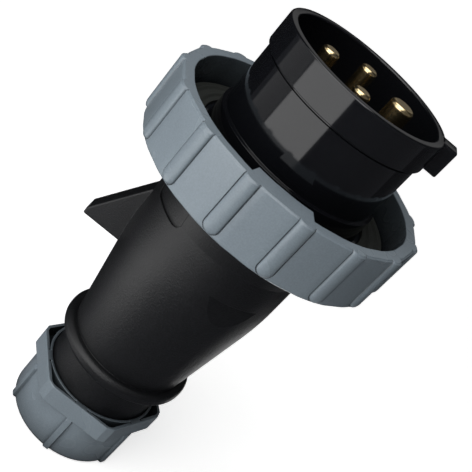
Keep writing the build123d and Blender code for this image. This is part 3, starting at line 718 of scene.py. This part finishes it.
rim = ends_mm("shroud", ALONG_Z)[1]
flange_radius = ends_mm("shroud", ALONG_X)[1]
band_radius = COLLAR_RADIUS + BAND_RISE
band_rear = rim - BAND_LENGTH
band_groove_radius = COLLAR_RADIUS - BAND_GROOVE_DEPTH
base_radius, base_front = COLLAR_RADIUS + BASE_SWELL, FLANGE_FRONT + BASE_LENGTH
bore_radius = COLLAR_RADIUS - COLLAR_WALL
collar_floor = SPLIT_HEIGHT + COLLAR_FLOOR_RISE
ledge_rear = collar_floor - LEDGE_THICKNESS
gasket_groove_floor = FLANGE_FRONT - GASKET_GROOVE_DEPTH
spigot_rear = SPLIT_HEIGHT - SPIGOT_LENGTH

shroud_loop = rounded([
    (LEDGE_BORE, ledge_rear, 0), (LEDGE_BORE, collar_floor, 0.3),
    (bore_radius, collar_floor, 0.5), (bore_radius, rim, 0.45),
    (band_radius, rim, 0.6), (band_radius, band_rear, 0.2),
    (band_groove_radius, band_rear, 0.1), (band_groove_radius, band_rear - BAND_GROOVE_FLOOR, 0.1),
    (COLLAR_RADIUS, band_rear - BAND_GROOVE_WIDTH, 0.12), (COLLAR_RADIUS, base_front + BASE_SLOPE, 0.06),
    (base_radius, base_front, 0.06), (base_radius, FLANGE_FRONT, 0.5),
    (GASKET_GROOVE_INNER, FLANGE_FRONT, 0.2), (GASKET_GROOVE_INNER, gasket_groove_floor, 0),
    (GASKET_GROOVE_OUTER, gasket_groove_floor, 0), (GASKET_GROOVE_OUTER, FLANGE_FRONT, 0.2),
    (flange_radius, FLANGE_FRONT, 0.4), (flange_radius, SPLIT_HEIGHT, 0.3),
    (SPIGOT_RADIUS, SPLIT_HEIGHT, 0), (SPIGOT_RADIUS, spigot_rear, 0.3),
    (SPIGOT_BORE, spigot_rear, 0.3), (SPIGOT_BORE, ledge_rear, 0),
])
print("shroud loop points:", len(shroud_loop))

# %% [markdown]
# The key lets the plug enter its socket in one way only. It is a block with soft edges that is set
# on the band and reaches a little into it. It could be part of the loop, but then all its edges
# would have to lie on rays from the axis, and a real key has parallel sides.

# %% The key, and the shroud as a piece
SHROUD_AZIMUTHS = 240
KEY_WIDTH, KEY_LENGTH = 5.5, 8.4
KEY_FOOT_RADIUS, KEY_TOP_RADIUS = 23.4, 28.78
KEY_ROUNDING, KEY_ROUNDING_STEPS = 0.55, 4


def block(shape, lowest, highest):
    """Adds a block with rounded edges, from its lowest to its highest corner in mm."""
    made = bmesh.ops.create_cube(shape, size=1.0)["verts"]
    for vertex in made:
        vertex.co = [MM * (low if part < 0 else high) for part, low, high in zip(vertex.co, lowest, highest)]
    edges = list({edge for vertex in made for edge in vertex.link_edges})
    bmesh.ops.bevel(shape, geom=edges, offset=KEY_ROUNDING * MM, segments=KEY_ROUNDING_STEPS,
                    profile=0.5, affect="EDGES")


shape = bmesh.new()
turned(shape, [k * 360 / SHROUD_AZIMUTHS for k in range(SHROUD_AZIMUTHS)], lambda azimuth: shroud_loop)
block(shape, (KEY_FOOT_RADIUS, -KEY_WIDTH / 2, rim - KEY_LENGTH), (KEY_TOP_RADIUS, KEY_WIDTH / 2, rim))
finish_piece("shroud_moulding", shape, gloss_black, "plug_body", "shroud")

# %% [markdown]
# ## The bayonet ring
#
# The ring that locks the plug in its socket has fifteen grip ribs. Each is a half-round bar that
# ends in a rounded tip near the ring's rear edge, like a capsule laid on the surface. It could be
# a capsule joined by a boolean. Instead its height over the panel is a formula of the place on the
# ring. A fine line at its foot keeps rib and panel apart.

# %% Rib height over the panel
RING_BORE, RING_PANEL = 34.84, 38.3
RIB_COUNT, RIB_HALF_WIDTH, RIB_HEIGHT = 15, 2.2, 1.08
RIB_TIP_GAP, RIB_TIP_LENGTH = 0.55, 2.1
FOOT_LINE_END, FOOT_LINE_DEPTH = -0.2, 0.2

ring_rear, ring_front = ends_mm("bayonet_ring", ALONG_Z)
rib_tip = ring_rear + RIB_TIP_GAP
rib_pitch = 360 / RIB_COUNT
first_rib = 270 - rib_pitch / 2


def rib_rise(azimuth, height):
    """How far a rib stands out from the panel at this azimuth and height, in mm."""
    offset = (azimuth - first_rib + rib_pitch / 2) % rib_pitch - rib_pitch / 2
    across = math.radians(offset) * RING_PANEL / RIB_HALF_WIDTH
    along = max(0.0, rib_tip + RIB_TIP_LENGTH - height) / RIB_TIP_LENGTH
    rest = 1 - across ** 2 - along ** 2
    if FOOT_LINE_END < rest < 0:
        return -FOOT_LINE_DEPTH
    return RIB_HEIGHT * math.sqrt(max(0.0, rest))


print("ribs every", rib_pitch, "degrees, rise at the front:", rib_rise(first_rib, ring_front), "mm")

# %% [markdown]
# Inside, the ring has a lip at the rear that keeps it on the housing, and two lugs at the front
# that run up the ramps of the socket. A lug is the same loop with a part of its inner wall moved
# inwards, so the loop has the same number of points at every azimuth, and the joining faces need
# no special case.

# %% The ring's loop
LIP_RADIUS, LIP_REAR, LIP_FRONT = 32.0, 101.6, 103.6
LUG_AZIMUTHS, LUG_HALF_ANGLE = (90, 270), 15
LUG_RADIUS, LUG_THICKNESS, LUG_RAMP = 30.7, 3.2, 0.8
FRONT_BEVEL, REAR_ROUNDING = 0.45, 0.9
REAR_ROUNDING_ANGLES = (60, 40, 20)
TIP_STEP, TIP_STEPS = 0.15, 16
PLAIN_FROM_REAR, PLAIN_FROM_FRONT = 4.5, 4.0
BEVEL_BEFORE, BEVEL_AFTER = 0.12, 0.05      # points either side of the line where the bevel begins

bevel_start = ring_front - FRONT_BEVEL
lug_rear = ring_front - LUG_THICKNESS
outer_heights = [rib_tip + TIP_STEP * k for k in range(TIP_STEPS)]
outer_heights += [ring_rear + PLAIN_FROM_REAR, ring_front - PLAIN_FROM_FRONT]
outer_heights += [bevel_start - BEVEL_BEFORE, bevel_start + BEVEL_AFTER]


def ring_loop(azimuth):
    """The ring's cross-section at this azimuth, in mm."""
    in_lug = min(abs(azimuth - middle) for middle in LUG_AZIMUTHS) <= LUG_HALF_ANGLE
    inner, ramp = (LUG_RADIUS, LUG_RAMP) if in_lug else (RING_BORE, 0.0)
    front_radius = RING_PANEL + rib_rise(azimuth, ring_front) - FRONT_BEVEL
    inside = rounded([
        (RING_PANEL - REAR_ROUNDING, ring_rear, 0), (RING_BORE, ring_rear, 0.3), (RING_BORE, LIP_REAR, 0),
        (LIP_RADIUS, LIP_REAR, 0.2), (LIP_RADIUS, LIP_FRONT, 0.2), (RING_BORE, LIP_FRONT, 0),
        (RING_BORE, lug_rear, 0), (inner + ramp, lug_rear, 0), (inner, lug_rear + ramp, 0),
        (inner, ring_front, 0.3), (front_radius, ring_front, 0.15),
    ])
    outside = [(RING_PANEL + rib_rise(azimuth, height) - max(0.0, height - bevel_start), height)
               for height in reversed(outer_heights)]
    rear = [(RING_PANEL - REAR_ROUNDING * (1 - math.sin(turn)),
             ring_rear + REAR_ROUNDING * (1 - math.cos(turn)))
            for turn in map(math.radians, REAR_ROUNDING_ANGLES)]
    return inside + outside + rear


print("ring loop points:", len(ring_loop(0)))

# %% [markdown]
# Even steps round the ring would cut the ribs' feet into teeth. So the azimuths are packed closely
# at each foot, and lie wide apart on the panels, where nothing changes.

# %% The ring as a piece
RIB_SHARES = (0.12, 0.3, 0.48, 0.64, 0.78, 0.89, 0.96, 1.0, 1.02, 1.05, 1.08, 1.11, 1.5, 2.1)
LUG_FLANK = 0.03                            # degrees over which a lug's side drops

rib_half_angle = math.degrees(RIB_HALF_WIDTH / RING_PANEL)
offsets = [0.0] + [side * share * rib_half_angle for side in (-1, 1) for share in RIB_SHARES]
ring_azimuths = {round((first_rib + k * rib_pitch + offset) % 360, 4)
                 for k in range(RIB_COUNT) for offset in offsets}
ring_azimuths |= {middle + side * (LUG_HALF_ANGLE + flank)
                  for middle in LUG_AZIMUTHS for side in (-1, 1) for flank in (0, LUG_FLANK)}
shape = bmesh.new()
turned(shape, sorted(ring_azimuths), ring_loop)
finish_piece("bayonet_ring_moulding", shape, blue_grey, "ring", "bayonet_ring")

# %% [markdown]
# ## The gland nut
#
# The nut has a hexagonal flange for the spanner, with hollow corners that save plastic and keep
# the wall even, and a round sleeve with six ribs for the hand. A cube and a cylinder could be
# joined and bevelled, but a formula is shorter: a hexagon's radius is the distance to its flat
# side divided by a cosine, and its corners are cut off flat.

# %% Outlines of the nut
SLEEVE_FRONT, SLEEVE_RADIUS, SLEEVE_ROUNDING = 14.5, 19.2, 1.5
SIDE_ANGLE = 60
GRIP_HALF_WIDTH, GRIP_FLANK, GRIP_HEIGHT = 1.1, 0.26, 0.78
GRIP_END, GRIP_END_LENGTH = 0.4, 0.55       # the rib rises from the rear edge over this length
GRIP_RUNOUT_LENGTH, GRIP_RUNOUT_LEFT = 0.8, 0.25


def from_side(azimuth):
    """Angle from the middle of the nearest side, which lie at 30, 90, 150 degrees and so on."""
    return math.radians(abs(azimuth % SIDE_ANGLE - SIDE_ANGLE / 2))


def hexagon_radius(azimuth, apothem, corner_apothem):
    """Radius of a hexagon of this apothem, with its corners cut off at another."""
    from_corner = math.radians(SIDE_ANGLE / 2) - from_side(azimuth)
    return min(apothem / math.cos(from_side(azimuth)), corner_apothem / math.cos(from_corner))


def sleeve_outline(azimuth, height):
    """Radius of the ribbed sleeve at a height, with its rounded rear edge and the ribs' ends."""
    below = max(0.0, SLEEVE_ROUNDING - height)
    body = SLEEVE_RADIUS - SLEEVE_ROUNDING + math.sqrt(SLEEVE_ROUNDING ** 2 - below ** 2)
    inwards = GRIP_HALF_WIDTH - from_side(azimuth) * SLEEVE_RADIUS
    across = min(1.0, max(0.0, inwards / GRIP_FLANK))
    rear = math.sqrt(min(1.0, max(0.0, (height - GRIP_END) / GRIP_END_LENGTH)))
    front = min(1.0, (SLEEVE_FRONT - height) / GRIP_RUNOUT_LENGTH + GRIP_RUNOUT_LEFT)
    full = SLEEVE_RADIUS + GRIP_HEIGHT * front
    return body + across * rear * (full - body)


print("rib on the sleeve stands out", round(sleeve_outline(30, 8) - sleeve_outline(0, 8), 2), "mm")

# %% [markdown]
# The pockets behind the hexagon's corners open only where the wall leaves room for them beside the
# lip of the thread. Elsewhere their floor rises to the front face, so the loop keeps its number of
# points.

# %% The nut's loop
ENTRY_RADIUS, END_WALL = 9.5, 2.5
NUT_BORE, NUT_APOTHEM, NUT_CORNER_APOTHEM = 17.4, 19.4, 21.62
LIP_WALL, HEX_WALL = 1.0, 1.1
POCKET_DEPTH, POCKET_CORNER_APOTHEM = 4.4, 20.75
POCKET_LEAST_WIDTH, POCKET_CLOSED_WIDTH = 0.03, 0.02
SLEEVE_HEIGHTS = (14.5, 14.1, 13.9, 13.0, 8.0, 3.0, 1.5, 1.2, 0.95, 0.8, 0.65, 0.52, 0.44, 0.4, 0.25,
                  0.12, 0.03)

nut_front = ends_mm("gland_nut", ALONG_Z)[1]
lip_outside = NUT_BORE + LIP_WALL


def nut_loop(azimuth):
    """The nut's cross-section at this azimuth, in mm."""
    inner_hexagon = hexagon_radius(azimuth, NUT_APOTHEM - HEX_WALL, POCKET_CORNER_APOTHEM)
    pocket_open = inner_hexagon > lip_outside + POCKET_LEAST_WIDTH
    pocket_floor = nut_front - POCKET_DEPTH if pocket_open else nut_front
    pocket_wall = max(inner_hexagon, lip_outside + POCKET_CLOSED_WIDTH)
    outside = hexagon_radius(azimuth, NUT_APOTHEM, NUT_CORNER_APOTHEM)
    front = rounded([
        (ENTRY_RADIUS, 0.0, 0), (ENTRY_RADIUS, END_WALL, 0.3), (NUT_BORE, END_WALL, 0),
        (NUT_BORE, nut_front, 0.3), (lip_outside, nut_front, 0.12), (lip_outside, pocket_floor, 0),
        (pocket_wall, pocket_floor, 0), (pocket_wall, nut_front, 0.12),
        (outside, nut_front, 0.3), (outside, SLEEVE_FRONT, 0.25),
    ])
    sleeve = [(sleeve_outline(azimuth, height), height) for height in SLEEVE_HEIGHTS]
    return front + sleeve + [(SLEEVE_RADIUS - SLEEVE_ROUNDING, 0.0)]


print("nut loop points:", len(nut_loop(0)))

# %% [markdown]
# As on the ring, the azimuths are close together where the outline bends: at the ribs' flanks, at
# the pockets' ends and at the hexagon's corners.

# %% The nut as a piece
FLANK_SHARES = (0.0, 0.4, 0.76, 0.9, 1.0)
SIDE_OFFSETS = (4.2, 5.9, 6.2, 8, 10, 12, 14, 16, 18, 20, 22, 24, 25.5, 26.3, 26.6, 27.6, 28.8, 30)

grip_half_angle = math.degrees(GRIP_HALF_WIDTH / SLEEVE_RADIUS)
offsets = [share * grip_half_angle for share in FLANK_SHARES] + list(SIDE_OFFSETS)
nut_azimuths = {round((SIDE_ANGLE / 2 + SIDE_ANGLE * k + side * offset) % 360, 4)
                for k in range(6) for side in (-1, 1) for offset in offsets}
shape = bmesh.new()
turned(shape, sorted(nut_azimuths), nut_loop)
finish_piece("gland_nut_moulding", shape, blue_grey, "nut", "gland_nut")

# %% [markdown]
# ## The engineering pieces
#
# The rear housing, the pins and everything inside have the right shape already. They could be
# built again, but their fillets are in the model, so they keep their meshes and only get their
# finish. The three nodes that a piece above stands for get theirs too.

# %% Finishes for the engineering pieces
finish_of = {
    "shroud": gloss_black,
    "face_gasket": gasket_rubber,
    "bayonet_ring": blue_grey,
    "earth_pin": brass,
    "phase_pin_1": brass,
    "phase_pin_2": brass,
    "phase_pin_3": brass,
    "earth_terminal_screw": zinc,
    "phase_terminal_screws": zinc,
    "retainer_screws": zinc,
    "pin_carrier": carrier_black,
    "pin_retainer": carrier_black,
    "carrier_seal": seal_rubber,
    "housing_seal": seal_rubber,
    "rear_housing": matt_black,
    "gland_seal": seal_rubber,
    "seal_insert": seal_rubber,
    "slip_washer": acetal_white,
    "gland_cage": natural_grey,
    "gland_nut": blue_grey,
}
for node_name, finish in finish_of.items():
    node = nodes[node_name]
    node.data.materials.clear()
    node.data.materials.append(finish)
print("finished", len(finish_of), "of", len(nodes), "engineering pieces")

# %% [markdown]
# ## The end
#
# The Standard view shows a colour as it is written, where the default view would bend it like
# film.

# %% View
bpy.context.scene.view_settings.view_transform = "Standard"
